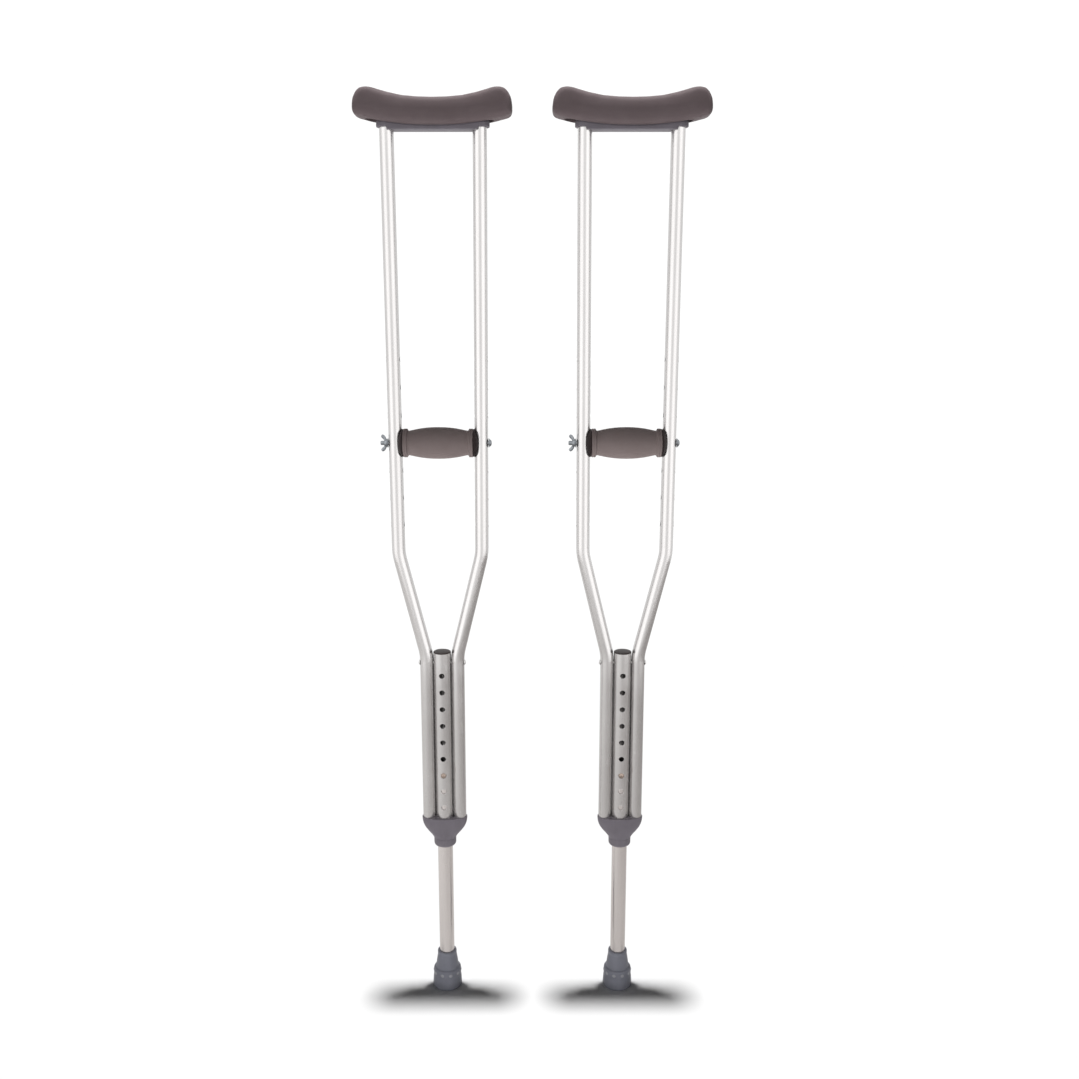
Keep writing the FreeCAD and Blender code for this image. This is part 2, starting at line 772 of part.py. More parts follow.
# one crutch
def crutch(name, middle):
    """Every piece of one crutch, round a centre line at X = middle."""
    def label(piece):
        return f"{name}_{piece}"

    legTop = "buttonHeight + legTopAboveButton"
    frame = straightTube(label("centre_tube"), middle, "centreRadius", "centreBottom", "centreTop")
    crossHoles(frame, "YZ_Plane", "rivetRadius + 0.08", "rivetHeight")
    crossHoles(
        frame, "XZ_Plane", "buttonHoleRadius",
        "buttonHeight - holesBelow * lengthPitch", "lengthHoles", "lengthPitch",
    )
    leg = straightTube(label("leg_tube"), middle, "legRadius", "legBottom", legTop)
    crossHoles(leg, "XZ_Plane", "buttonHoleRadius", "buttonHeight")
    pieces = [
        underarmPad(label("underarm_pad"), middle),
        padBase(label("pad_base"), middle),
        baseScrews(label("base_screws"), middle),
        upright(label("nut_side_upright"), middle, -1, False),
        upright(label("head_side_upright"), middle, 1, True),
        frame,
        centrePlug(label("centre_plug"), middle),
        crossRivet(label("cross_rivet"), middle),
        collar(label("collar"), middle),
        leg,
        snapSpring(label("snap_spring"), middle),
        snapButton(label("front_button"), middle, -1),
        snapButton(label("rear_button"), middle, 1),
        tip(label("tip"), middle),
        washer(
            label("tip_washer"), middle, "tipFloor", "XY_Plane", "0.05",
            "0", "legRadius - 0.2", "legBottom - tipFloor - 0.15",
        ),
        gripCore(label("grip_core"), middle),
        gripSleeve(label("grip_sleeve"), middle),
        gripSaddle(label("nut_side_saddle"), middle, -1),
        gripSaddle(label("head_side_saddle"), middle, 1),
        gripBolt(label("grip_bolt"), middle),
        wingNut(label("wing_nut"), middle),
        washer(
            label("nut_washer"), middle, "gripHeight", "YZ_Plane", "-(washerInner) - washerThick",
            "boltRadius + 0.06", "washerRadius", "washerThick",
        ),
        washer(
            label("head_washer"), middle, "gripHeight", "YZ_Plane", "washerInner",
            "boltRadius + 0.06", "washerRadius", "washerThick",
        ),
    ]
    return pieces


pieces = crutch("left", "-pairSpacing / 2") + crutch("right", "pairSpacing / 2")
document.recompute()

# check and write
os.makedirs("parts", exist_ok=True)
for item in document.Objects:
    assert "Invalid" not in item.State and "Error" not in item.State, (item.Label, item.State)
for piece in pieces:
    shape = piece.Shape
    assert not shape.isNull() and shape.isValid() and shape.Volume > 0, piece.Label
    box = shape.optimalBoundingBox()
    print(
        f"{piece.Label:26s} solids {len(shape.Solids)} volume {shape.Volume:9.1f}"
        f" x {box.XMin:7.1f} {box.XMax:7.1f} y {box.YMin:6.1f} {box.YMax:6.1f}"
        f" z {box.ZMin:7.1f} {box.ZMax:7.1f}"
    )
for piece in pieces:
    piece.Shape.exportStep(f"parts/{piece.Label}.step")
print("pieces", len(pieces))
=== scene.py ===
import json
import math

import bmesh
import bpy
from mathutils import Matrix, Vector

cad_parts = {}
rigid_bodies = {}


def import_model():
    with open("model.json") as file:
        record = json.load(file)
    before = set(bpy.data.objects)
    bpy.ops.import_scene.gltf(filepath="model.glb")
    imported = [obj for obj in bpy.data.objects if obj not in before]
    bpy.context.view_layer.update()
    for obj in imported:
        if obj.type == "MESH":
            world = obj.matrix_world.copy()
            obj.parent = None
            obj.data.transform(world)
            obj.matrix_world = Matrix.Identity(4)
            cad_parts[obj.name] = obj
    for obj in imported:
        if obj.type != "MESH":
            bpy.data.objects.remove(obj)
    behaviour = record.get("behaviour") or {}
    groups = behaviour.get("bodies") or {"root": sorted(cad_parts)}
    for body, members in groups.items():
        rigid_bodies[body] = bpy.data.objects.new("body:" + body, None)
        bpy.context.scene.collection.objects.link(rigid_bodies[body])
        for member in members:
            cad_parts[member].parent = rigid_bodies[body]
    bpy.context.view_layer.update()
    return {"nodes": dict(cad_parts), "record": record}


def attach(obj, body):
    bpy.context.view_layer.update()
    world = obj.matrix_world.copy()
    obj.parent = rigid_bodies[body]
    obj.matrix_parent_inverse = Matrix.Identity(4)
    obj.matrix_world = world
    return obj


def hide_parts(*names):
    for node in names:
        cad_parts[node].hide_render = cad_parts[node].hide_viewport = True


# A pair of push-button underarm crutches: metres, +Z up, front towards -Y.

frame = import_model()
scene = bpy.context.scene
crutches = {"left": -0.13, "right": 0.13}  # centre lines
gripHeight = 0.832  # the grip bolt's middle
print("frame loaded:", len(frame["nodes"]), "nodes")

# camera, a little above the hand grips and looking slightly down
cameraView = {
    "distance": 1.4896,
    "height": 0.998,
    "tilt": 11.476,  # degrees below level
    "lens": 35.97,
    "shiftX": 0.0066,
}
cameraData = bpy.data.cameras.new("camera")
cameraData.lens = cameraView["lens"]
cameraData.sensor_width = 36
cameraData.shift_x = cameraView["shiftX"]
cameraData.clip_end = 100
camera = bpy.data.objects.new("camera", cameraData)
camera.location = (0, -cameraView["distance"], cameraView["height"])
camera.rotation_euler = (math.radians(90 - cameraView["tilt"]), 0, 0)
scene.collection.objects.link(camera)
scene.camera = camera
scene.view_settings.view_transform = "Standard"


# shader building
def addNode(tree, kind, inputs=None, **settings):
    node = tree.nodes.new(kind)
    for name, value in settings.items():
        setattr(node, name, value)
    for key, value in (inputs or {}).items():
        if isinstance(value, bpy.types.NodeSocket):
            tree.links.new(value, node.inputs[key])
        else:
            node.inputs[key].default_value = value
    return node


def maths(tree, operation, *values):
    return addNode(tree, "ShaderNodeMath", dict(enumerate(values)), operation=operation).outputs[0]


def rescale(tree, value, low, high, toLow, toHigh):
    return addNode(tree, "ShaderNodeMapRange", {
        "Value": value, "From Min": low, "From Max": high, "To Min": toLow, "To Max": toHigh,
    }).outputs["Result"]


def tint(tree, factor, first, second):
    node = addNode(tree, "ShaderNodeMix", {0: factor}, data_type="RGBA")
    for index, colour in ((6, first), (7, second)):
        if isinstance(colour, bpy.types.NodeSocket):
            tree.links.new(colour, node.inputs[index])
        else:
            node.inputs[index].default_value = (*colour, 1)
    return node.outputs[2]


def either(tree, factor, first, second):
    return addNode(tree, "ShaderNodeMix", {0: factor, 2: first, 3: second}, data_type="FLOAT").outputs[0]


def noise(tree, where, scale, detail=2.0, roughness=0.5):
    return addNode(tree, "ShaderNodeTexNoise", {
        "Vector": where, "Scale": scale, "Detail": detail, "Roughness": roughness,
    }).outputs["Fac"]


def stretched(tree, where, scale):
    return addNode(tree, "ShaderNodeMapping", {"Vector": where, "Scale": scale}).outputs[0]


def bump(tree, height, distance, under=None):
    inputs = {"Height": height, "Distance": distance}
    if under:
        inputs["Normal"] = under
    return addNode(tree, "ShaderNodeBump", inputs).outputs[0]


def newFinish(name, **settings):
    material = bpy.data.materials.new(name)
    material.use_nodes = True
    tree = material.node_tree
    shader = tree.nodes["Principled BSDF"]
    for socket, value in settings.items():
        shader.inputs[socket.replace("_", " ")].default_value = value
    where = addNode(tree, "ShaderNodeTexCoord").outputs["Object"]
    return material, tree, shader, where


def connect(tree, shader, **sources):
    for name, source in sources.items():
        tree.links.new(source, shader.inputs[name.replace("_", " ")])


# metal finishes
tubeFinish = {
    "smooth": 0.17,
    "rough": 0.25,
    "lineScale": 900,  # drawing lines round the tube
    "apart": 0.31,  # how far along the pattern the two crutches lie from its middle
    "bendLow": 0.527,
    "bendHigh": 0.675,
    "bendOut": 0.0364,
}


# object coordinates in which a bent upright is straight, so that drawing lines follow it
def alongTube(tree, where):
    split = addNode(tree, "ShaderNodeSeparateXYZ", {0: where}).outputs
    crutchSide = maths(tree, "SIGN", split[0])
    local = maths(tree, "SUBTRACT", split[0], maths(tree, "MULTIPLY", crutchSide, crutches["right"]))
    out = rescale(tree, split[2], tubeFinish["bendLow"], tubeFinish["bendHigh"], 0, tubeFinish["bendOut"])
    straight = maths(tree, "SUBTRACT", local, maths(tree, "MULTIPLY", maths(tree, "SIGN", local), out))
    shifted = maths(tree, "ADD", straight, maths(tree, "MULTIPLY", crutchSide, tubeFinish["apart"]))
    return addNode(tree, "ShaderNodeCombineXYZ", {0: shifted, 1: split[1], 2: split[2]}).outputs[0]


def drawnAluminium(name, bright, dull, bent):
    material, tree, shader, where = newFinish(name, Metallic=0.88, Specular_IOR_Level=0.5)
    if bent:
        where = alongTube(tree, where)
    lines = noise(tree, stretched(tree, where, (1, 1, 0.006)), tubeFinish["lineScale"], 3, 0.6)
    broad = noise(tree, stretched(tree, where, (1, 1, 0.02)), 160, 2)
    cloud = noise(tree, where, 14, 4, 0.6)
    specks = noise(tree, where, 700, 2, 0.7)
    scratches = noise(tree, stretched(tree, where, (1, 1, 0.08)), 420, 1)
    scratched = rescale(tree, scratches, 0.7, 0.76, 0, 1)
    shade = maths(tree, "ADD", maths(tree, "MULTIPLY", broad, 0.6), maths(tree, "MULTIPLY", cloud, 0.4))
    colour = tint(tree, rescale(tree, shade, 0.35, 0.65, 0, 1), dull, bright)
    colour = tint(tree, maths(tree, "MULTIPLY", scratched, 0.12), colour, (0.7, 0.7, 0.7))
    rough = rescale(tree, cloud, 0.3, 0.7, tubeFinish["smooth"], tubeFinish["rough"])
    rough = maths(tree, "ADD", rough, maths(tree, "MULTIPLY", lines, 0.03))
    rough = maths(tree, "ADD", rough, maths(tree, "MULTIPLY", scratched, 0.05))
    fine = bump(tree, lines, 0.000003)
    normal = bump(tree, specks, 0.000001, fine)
    connect(tree, shader, Base_Color=colour, Roughness=rough, Normal=normal)
    return material


def platedMetal(name, bright, dull, smooth=0.3):
    material, tree, shader, where = newFinish(name, Metallic=1.0)
    crystals = addNode(tree, "ShaderNodeTexVoronoi", {"Vector": where, "Scale": 900}).outputs["Color"]
    grey = addNode(tree, "ShaderNodeRGBToBW", {0: crystals}).outputs[0]
    cloud = noise(tree, where, 260, 4, 0.65)
    colour = tint(tree, rescale(tree, cloud, 0.35, 0.65, 0, 1), dull, bright)
    colour = tint(tree, maths(tree, "MULTIPLY", grey, 0.2), colour, bright)
    rough = rescale(tree, cloud, 0.3, 0.7, smooth, smooth + 0.16)
    connect(tree, shader, Base_Color=colour, Roughness=rough, Normal=bump(tree, cloud, 0.00004))
    return material


# plastic, foam and rubber finishes
def mouldedPlastic(name, base, light, roughness, gloss=0.2, grain=2600, depth=0.00003):
    material, tree, shader, where = newFinish(name, Specular_IOR_Level=gloss)
    cloud = noise(tree, where, 40, 3, 0.6)
    sparkle = noise(tree, where, grain, 3, 0.6)
    flow = noise(tree, stretched(tree, where, (1, 1, 0.15)), 120, 2)
    mixed = maths(tree, "ADD", maths(tree, "MULTIPLY", cloud, 0.6), maths(tree, "MULTIPLY", flow, 0.4))
    colour = tint(tree, rescale(tree, mixed, 0.35, 0.65, 0, 1), base, light)
    rough = rescale(tree, sparkle, 0.3, 0.7, roughness - 0.06, roughness + 0.08)
    normal = bump(tree, sparkle, depth, bump(tree, cloud, 0.0002))
    connect(tree, shader, Base_Color=colour, Roughness=rough, Normal=normal)
    return material


def foamSkin(name, base, light, roughness, pore, depth):
    material, tree, shader, where = newFinish(
        name, Specular_IOR_Level=0.1, Sheen_Weight=0.06, Sheen_Roughness=0.5,
    )
    pores = addNode(tree, "ShaderNodeTexVoronoi", {"Vector": where, "Scale": pore}).outputs["Distance"]
    cells = rescale(tree, pores, 0.0, 0.6, 0, 1)
    cloud = noise(tree, where, 28, 4, 0.6)
    fuzz = noise(tree, where, pore * 1.7, 3, 0.7)
    mixed = maths(tree, "ADD", maths(tree, "MULTIPLY", cloud, 0.7), maths(tree, "MULTIPLY", fuzz, 0.3))
    colour = tint(tree, rescale(tree, mixed, 0.35, 0.65, 0, 1), base, light)
    dark = [channel * 0.7 for channel in base]
    colour = tint(tree, rescale(tree, pores, 0.0, 0.25, 0.35, 0), colour, dark)
    rough = rescale(tree, cloud, 0.3, 0.7, roughness - 0.05, roughness + 0.06)
    normal = bump(tree, cells, depth, bump(tree, fuzz, depth * 0.6, bump(tree, cloud, 0.0004)))
    connect(tree, shader, Base_Color=colour, Roughness=rough, Normal=normal)
    return material


finishes = {
    "tube_aluminium": drawnAluminium("tubeAluminium", (0.60, 0.585, 0.58), (0.55, 0.535, 0.53), True),
    "leg_aluminium": drawnAluminium("legAluminium", (0.73, 0.69, 0.675), (0.67, 0.63, 0.615), False),
    "rivet_aluminium": platedMetal("rivetAluminium", (0.62, 0.61, 0.6), (0.5, 0.49, 0.48)),
    "zinc_steel": platedMetal("zincSteel", (0.26, 0.275, 0.29), (0.17, 0.18, 0.195)),
    "spring_steel": platedMetal("springSteel", (0.3, 0.3, 0.32), (0.2, 0.2, 0.22)),
    "button_metal": platedMetal("buttonMetal", (0.36, 0.29, 0.25), (0.26, 0.21, 0.18)),
    "pad_foam": foamSkin("padFoam", (0.180, 0.140, 0.145), (0.210, 0.166, 0.173), 0.62, 1500, 0.00005),
    "grip_foam": foamSkin("gripFoam", (0.265, 0.213, 0.208), (0.318, 0.258, 0.252), 0.66, 1900, 0.00006),
    "grey_plastic": mouldedPlastic("greyPlastic", (0.200, 0.180, 0.206), (0.228, 0.207, 0.236), 0.5),
    "dark_plastic": mouldedPlastic("darkPlastic", (0.022, 0.014, 0.014), (0.031, 0.021, 0.021), 0.5, 0.12),
    "plug_plastic": mouldedPlastic("plugPlastic", (0.078, 0.064, 0.062), (0.094, 0.077, 0.075), 0.5),
    "tip_rubber": mouldedPlastic(
        "tipRubber", (0.218, 0.222, 0.262), (0.258, 0.263, 0.308), 0.45, 0.3, 1800, 0.00005,
    ),
    # the studs' rubber is the tip's rubber painted paler: a painted highlight where they catch the light
    "tip_stud": mouldedPlastic(
        "studRubberPaintedHighlight", (0.36, 0.365, 0.40), (0.42, 0.425, 0.46), 0.4, 0.35, 1800, 0.00005,
    ),
}
slotOf = {part["node"]: part["material_slot"] for part in frame["record"]["subparts"]}
for node, item in frame["nodes"].items():
    item.data.materials.clear()
    item.data.materials.append(finishes[slotOf[node]])
print("finishes made:", len(finishes))


# shared mesh helpers
def meshPiece(name, shape, slot):  # a smooth piece from a bmesh, with outward faces
    bmesh.ops.remove_doubles(shape, verts=shape.verts, dist=0.000002)
    bmesh.ops.recalc_face_normals(shape, faces=shape.faces)
    mesh = bpy.data.meshes.new(name)
    shape.to_mesh(mesh)
    shape.free()
    mesh.materials.append(finishes[slot])
    for face in mesh.polygons:
        face.use_smooth = True
    piece = bpy.data.objects.new(name, mesh)
    scene.collection.objects.link(piece)
    return piece


def applied(piece):  # the piece's modifiers turned into plain mesh
    bpy.context.view_layer.update()
    evaluated = piece.evaluated_get(bpy.context.evaluated_depsgraph_get())
    mesh = bpy.data.meshes.new_from_object(evaluated)
    mesh.name = piece.name
    piece.modifiers.clear()
    piece.data = mesh
    return piece


# puts a finished piece on its body, in place of its CAD nodes
def settle(piece, body, slot, *nodes):
    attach(piece, body)
    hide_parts(*nodes)


def asTool(shape):  # an object to cut with
    bmesh.ops.recalc_face_normals(shape, faces=shape.faces)
    mesh = bpy.data.meshes.new("tool")
    shape.to_mesh(mesh)
    shape.free()
    cutter = bpy.data.objects.new("tool", mesh)
    scene.collection.objects.link(cutter)
    return cutter


def skin(shape, rings, capped=True):  # side faces from ring to ring, and a face in the first and last ring
    for first, second in zip(rings, rings[1:]):
        for n in range(len(first)):
            following = (n + 1) % len(first)
            shape.faces.new((first[n], first[following], second[following], second[n]))
    if capped:
        for ring in (rings[0], rings[-1]):
            shape.faces.new(ring)


def roundSteps(count):  # cosine and sine of evenly spaced angles
    angles = [2 * math.pi * n / count for n in range(count)]
    return [(math.cos(angle), math.sin(angle)) for angle in angles]


def stadiumBar(middle, ends, halfWidth, low, high):  # an upright prism with round ends along X
    shape = bmesh.new()
    outline = []
    for end, way in ((ends[1], 1), (ends[0], -1)):
        for n in range(17):
            angle = math.pi * (n / 16 - 0.5)
            x = middle + end + way * halfWidth * (math.cos(angle) - 1)
            outline.append((x, way * halfWidth * math.sin(angle)))
    skin(shape, [[shape.verts.new((x, y, z)) for x, y in outline] for z in (low, high)])
    return shape


def roundBar(start, end, radius):  # a plain cylinder between two points, to cut with
    way = Vector(end) - Vector(start)
    shape = bmesh.new()
    bmesh.ops.create_cone(
        shape, cap_ends=True, segments=48, radius1=radius, radius2=radius, depth=way.length,
    )
    bmesh.ops.rotate(shape, verts=shape.verts, matrix=way.to_track_quat("Z", "Y").to_matrix())
    bmesh.ops.translate(shape, verts=shape.verts, vec=(Vector(start) + Vector(end)) / 2)
    return asTool(shape)


def cutAway(piece, *tools):  # takes the tools' shapes out of the piece, and the tools out of the scene
    for tool in tools:
        cut = piece.modifiers.new("cut", "BOOLEAN")
        cut.object = tool
        cut.operation = "DIFFERENCE"
        cut.solver = "EXACT"
    applied(piece)
    for tool in tools:
        bpy.data.objects.remove(tool)


def keepCorners(piece, degrees):  # smooth faces, with the corners sharper than this left crisp
    for face in piece.data.polygons:
        face.use_smooth = True
    piece.data.set_sharp_from_angle(angle=math.radians(degrees))


# underarm pads
padCushion = {
    # upper and lower line of the side view, half of it: (from the middle, height)
    "upper": [(0, 1.2818), (0.02, 1.2824), (0.04, 1.2842), (0.058, 1.2876), (0.072, 1.2915),
              (0.080, 1.2940), (0.0875, 1.2948), (0.095, 1.2922), (0.1005, 1.2862), (0.1035, 1.2780)],
    "lower": [(0.1045, 1.2650), (0.1030, 1.2608), (0.0990, 1.2586), (0.0880, 1.2560), (0.0760, 1.2532),
              (0.060, 1.2505), (0.040, 1.2482), (0.02, 1.2468)],
    "depth": 0.0405,
    # how far the outline draws in, layer by layer towards the front: (share of the depth, inset)
    "rounding": [(1.0, 0.0065), (0.97, 0.0034), (0.9, 0.0012), (0.76, 0.0002), (0.4, 0), (0, 0)],
    "voxel": 0.004,
    "pressure": 4,
    "settling": 20,  # frames of the swelling
    "cap": 0.0018,  # how far it may swell
    # the slot below, which takes the base's insert: (first end, last end), half width, foot, roof
    "slot": ((-0.0885, 0.0800), 0.0123, 1.235, 1.2687),
}


def outlineInset(points, inset):  # a closed outline moved inwards
    moved = []
    count = len(points)
    for n, point in enumerate(points):
        way = points[(n + 1) % count] - points[n - 1]
        way.normalize()
        moved.append(point + Vector((way.y, -way.x)) * inset)
    return moved


def cushionMesh(middle):
    right = padCushion["upper"] + padCushion["lower"]
    left = [(-x, z) for x, z in reversed(right) if x > 0]
    outline = [Vector(point) for point in right + left]
    shape = bmesh.new()
    rings = []
    rounding = padCushion["rounding"]
    layers = [(-share, inset) for share, inset in rounding] + rounding[-2::-1]
    for share, inset in layers:
        y = share * padCushion["depth"] / 2
        rings.append([shape.verts.new((middle + p.x, y, p.y)) for p in outlineInset(outline, inset)])
    skin(shape, rings)
    return shape


def puffed(piece):  # lets the closed cushion swell a little, as its foam does under the skin
    start = [vertex.co.copy() for vertex in piece.data.vertices]
    cloth = piece.modifiers.new("swell", "CLOTH")
    settings = cloth.settings
    settings.use_pressure = True
    settings.uniform_pressure_force = padCushion["pressure"]
    settings.quality = 5
    settings.mass = 0.3
    settings.tension_stiffness = 40
    settings.compression_stiffness = 40
    settings.shear_stiffness = 20
    settings.bending_stiffness = 2
    settings.effector_weights.gravity = 0
    cloth.collision_settings.use_collision = False
    for number in range(1, padCushion["settling"] + 1):
        scene.frame_set(number)
    bpy.context.view_layer.update()
    evaluated = piece.evaluated_get(bpy.context.evaluated_depsgraph_get())
    swollen = [vertex.co.copy() for vertex in evaluated.data.vertices]
    piece.modifiers.clear()
    for vertex, before, after in zip(piece.data.vertices, start, swollen):
        move = after - before
        if move.length > padCushion["cap"]:
            move *= padCushion["cap"] / move.length
        vertex.co = before + move
    scene.frame_set(1)


for side, middle in crutches.items():
    cushion = meshPiece(f"{side}_pad_cushion", cushionMesh(middle), "pad_foam")
    remesh = cushion.modifiers.new("even", "REMESH")
    remesh.mode = "VOXEL"
    remesh.voxel_size = padCushion["voxel"]
    remesh.use_smooth_shade = True
    applied(cushion)
    puffed(cushion)
    relax = cushion.modifiers.new("relax", "SMOOTH")
    relax.factor = 0.5
    relax.iterations = 4
    rounds = cushion.modifiers.new("rounds", "SUBSURF")
    rounds.levels = rounds.render_levels = 1
    applied(cushion)
    cutAway(cushion, asTool(stadiumBar(middle, *padCushion["slot"])))
    keepCorners(cushion, 40)
    settle(cushion, f"{side}_frame", "pad_foam", f"{side}_underarm_pad")
print("pads made")


# hand grips
gripSleeve = {
    # half of the outline: (from the middle, radius)
    "outline": [(0, 0.0219), (0.008, 0.02175), (0.016, 0.0212), (0.024, 0.0202), (0.031, 0.0189),
                (0.0365, 0.0177), (0.0395, 0.0171), (0.0408, 0.01705), (0.0416, 0.0175), (0.0422, 0.0187),
                (0.0427, 0.0196), (0.0434, 0.0199), (0.0444, 0.0199), (0.0447, 0.0194), (0.0451, 0.0193),
                (0.0455, 0.0199), (0.0468, 0.01985), (0.0478, 0.0194), (0.0482, 0.0186), (0.0482, 0.0135)],
    "around": 96,
}


def lathed(middle, outline, around):  # a closed solid of revolution along the grip bolt
    shape = bmesh.new()
    rings = []
    for x, radius in outline:
        rings.append([
            shape.verts.new((middle + x, radius * cosine, gripHeight + radius * sine))
            for cosine, sine in roundSteps(around)
        ])
    skin(shape, rings + rings[:1], capped=False)
    return shape


for side, middle in crutches.items():
    half = gripSleeve["outline"]
    whole = [(-x, radius) for x, radius in reversed(half) if x > 0] + half
    sleeve = meshPiece(f"{side}_grip_foam", lathed(middle, whole, gripSleeve["around"]), "grip_foam")
    settle(sleeve, f"{side}_grip", "grip_foam", f"{side}_grip_sleeve")
print("grips made")


# pad bases
padBase = {
    "halfLength": 0.0744,
    "halfDepth": 0.013,
    "endRound": 0.0129,
    "apron": 1.242,
    "lug": 1.246,
    "stepIn": 0.05875,
    "stepOut": 0.06025,
    "rimMiddle": 1.2462,
    "rimEnd": 1.25282,
    "corner": 0.0009,
    # the insert that fills the pad's slot: (first end, last end), half width, foot, top
    "insert": ((-0.07325, 0.07325), 0.012, 1.2455, 1.268),
    "socketX": 0.0612,
    "socketRadius": 0.00968,
    "socketFoot": 1.23,
    "socketTop": 1.2634,
    "screwZ": 1.258,
    "screwHole": 0.0021,
    "screwHead": 0.0039,
    "screwSeat": -0.0099,
    "screwFront": -0.02,
    # where the outline is stepped along X, from the step to the end
    "stations": [0.0575, 0.0584, 0.05875, 0.0590, 0.0595, 0.0600, 0.06025, 0.0606, 0.0615, 0.064,
                 0.0665, 0.069, 0.071, 0.0725, 0.0735, 0.0741],
}


def baseMesh(middle):  # a lofted bar: an oval end, a lug over each tube and the apron between them
    size = padBase
    stations = [n * 0.005 for n in range(12)] + size["stations"]
    stations = [-x for x in reversed(stations[1:])] + stations
    shape = bmesh.new()
    rings = []
    for x in stations:
        far = abs(x) - (size["halfLength"] - size["endRound"])
        half = size["halfDepth"]
        if far >= 0:
            half += math.sqrt(max(size["endRound"] ** 2 - far ** 2, 0)) - size["endRound"]
        step = min(max((abs(x) - size["stepIn"]) / (size["stepOut"] - size["stepIn"]), 0), 1)
        low = size["apron"] + (size["lug"] - size["apron"]) * step
        high = size["rimMiddle"] + (size["rimEnd"] - size["rimMiddle"]) * (x / size["halfLength"]) ** 2
        corner = min(size["corner"], half * 0.6)
        ring = []
        for signY, signZ in ((-1, -1), (1, -1), (1, 1), (-1, 1)):
            turns = range(3, -1, -1) if signY * signZ > 0 else range(4)
            for n in turns:
                angle = math.pi / 2 * n / 3
                y = signY * (half - corner + corner * math.sin(angle))
                edge = low if signZ < 0 else high
                z = edge - signZ * corner * (1 - math.cos(angle))
                ring.append(shape.verts.new((middle + x, y, z)))
        rings.append(ring)
    skin(shape, rings)
    return shape


for side, middle in crutches.items():
    size = padBase
    moulding = meshPiece(f"{side}_base_moulding", baseMesh(middle), "grey_plastic")
    insert = asTool(stadiumBar(middle, *size["insert"]))
    fuse = moulding.modifiers.new("fuse", "BOOLEAN")
    fuse.object = insert
    fuse.operation = "UNION"
    applied(moulding)
    bpy.data.objects.remove(insert)
    tools = []
    for way in (-1, 1):
        x = middle + way * size["socketX"]
        outside = (x, size["screwFront"], size["screwZ"])
        tools.append(roundBar((x, 0, size["socketFoot"]), (x, 0, size["socketTop"]), size["socketRadius"]))
        tools.append(roundBar(outside, (x, 0, size["screwZ"]), size["screwHole"]))
        tools.append(roundBar(outside, (x, size["screwSeat"], size["screwZ"]), size["screwHead"]))
    cutAway(moulding, *tools)
    keepCorners(moulding, 35)
    settle(moulding, f"{side}_frame", "grey_plastic", f"{side}_pad_base")
print("pad bases made")


# wing nuts
wingNut = {
    "seat": 0.07065,  # its flat face, from the crutch's middle
    "hub": [(0.0, 0.0049), (0.0008, 0.0051), (0.0034, 0.0045), (0.0044, 0.0040)],  # (outwards, radius)
    "bore": 0.0031,
    # one wing, from the hub outwards: (outwards, up, half width, half thickness)
    "wing": [(0.0018, 0.0022, 0.0016, 0.0017), (0.0026, 0.0046, 0.0019, 0.0015),
             (0.0040, 0.0068, 0.0023, 0.0013), (0.0056, 0.0086, 0.0026, 0.0013),
             (0.0070, 0.0100, 0.0023, 0.0013), (0.0079, 0.0109, 0.0014, 0.0009)],
    "hubSides": 48,
    "wingSides": 16,
    "voxel": 0.00032,
}


def wingMesh(shape, middle, up):  # adds one wing, up or down
    size = wingNut
    rings = []
    path = [Vector((-size["seat"] - out, up * rise)) for out, rise, wide, thick in size["wing"]]
    for n, (out, rise, wide, thick) in enumerate(size["wing"]):
        ahead = path[min(n + 1, len(path) - 1)] - path[max(n - 1, 0)]
        ahead.normalize()
        across = Vector((-ahead.y, ahead.x))
        ring = []
        for cosine, sine in roundSteps(size["wingSides"]):
            spot = path[n] + across * wide * cosine
            ring.append(shape.verts.new((middle + spot.x, thick * sine, gripHeight + spot.y)))
        rings.append(ring)
    skin(shape, rings)


for side, middle in crutches.items():
    size = wingNut
    outer = [(-size["seat"] - out, radius) for out, radius in size["hub"]]
    inner = [(-size["seat"] - out, size["bore"]) for out in (size["hub"][-1][0], 0)]
    shape = lathed(middle, outer + inner, size["hubSides"])
    for up in (-1, 1):
        wingMesh(shape, middle, up)
    nut = meshPiece(f"{side}_wing_nut_cast", shape, "zinc_steel")
    fuse = nut.modifiers.new("fuse", "REMESH")
    fuse.mode = "VOXEL"
    fuse.voxel_size = size["voxel"]
    relax = nut.modifiers.new("relax", "SMOOTH")
    relax.iterations = 3
    applied(nut)
    keepCorners(nut, 50)
    settle(nut, f"{side}_wing_nut", "zinc_steel", f"{side}_wing_nut")
print("wing nuts made")


# repeated details, made with geometry nodes
def newTree(name, sizes):  # a geometry tree with named inputs for its sizes, and its group input node
    tree = bpy.data.node_groups.new(name, "GeometryNodeTree")
    for label, kind, value in sizes:
        socket = tree.interface.new_socket(label, in_out="INPUT", socket_type=kind)
        socket.default_value = value
    tree.interface.new_socket("Geometry", in_out="OUTPUT", socket_type="NodeSocketGeometry")
    return tree, addNode(tree, "NodeGroupInput").outputs


def closeTree(tree, geometry, slot):
    real = addNode(tree, "GeometryNodeRealizeInstances", {0: geometry})
    painted = addNode(tree, "GeometryNodeSetMaterial", {
        "Geometry": real.outputs[0], "Material": finishes[slot],
    })
    smooth = addNode(tree, "GeometryNodeSetShadeSmooth", {0: painted.outputs[0]})
    addNode(tree, "NodeGroupOutput", {0: smooth.outputs[0]})


def grown(name, tree, values):  # a plain mesh piece from a tree and its input values
    piece = bpy.data.objects.new(name, bpy.data.meshes.new(name))
    scene.collection.objects.link(piece)
    modifier = piece.modifiers.new("grow", "NODES")
    modifier.node_group = tree
    for item in tree.interface.items_tree:
        if item.in_out == "INPUT" and item.name in values:
            modifier[item.identifier] = values[item.name]
    return applied(piece)


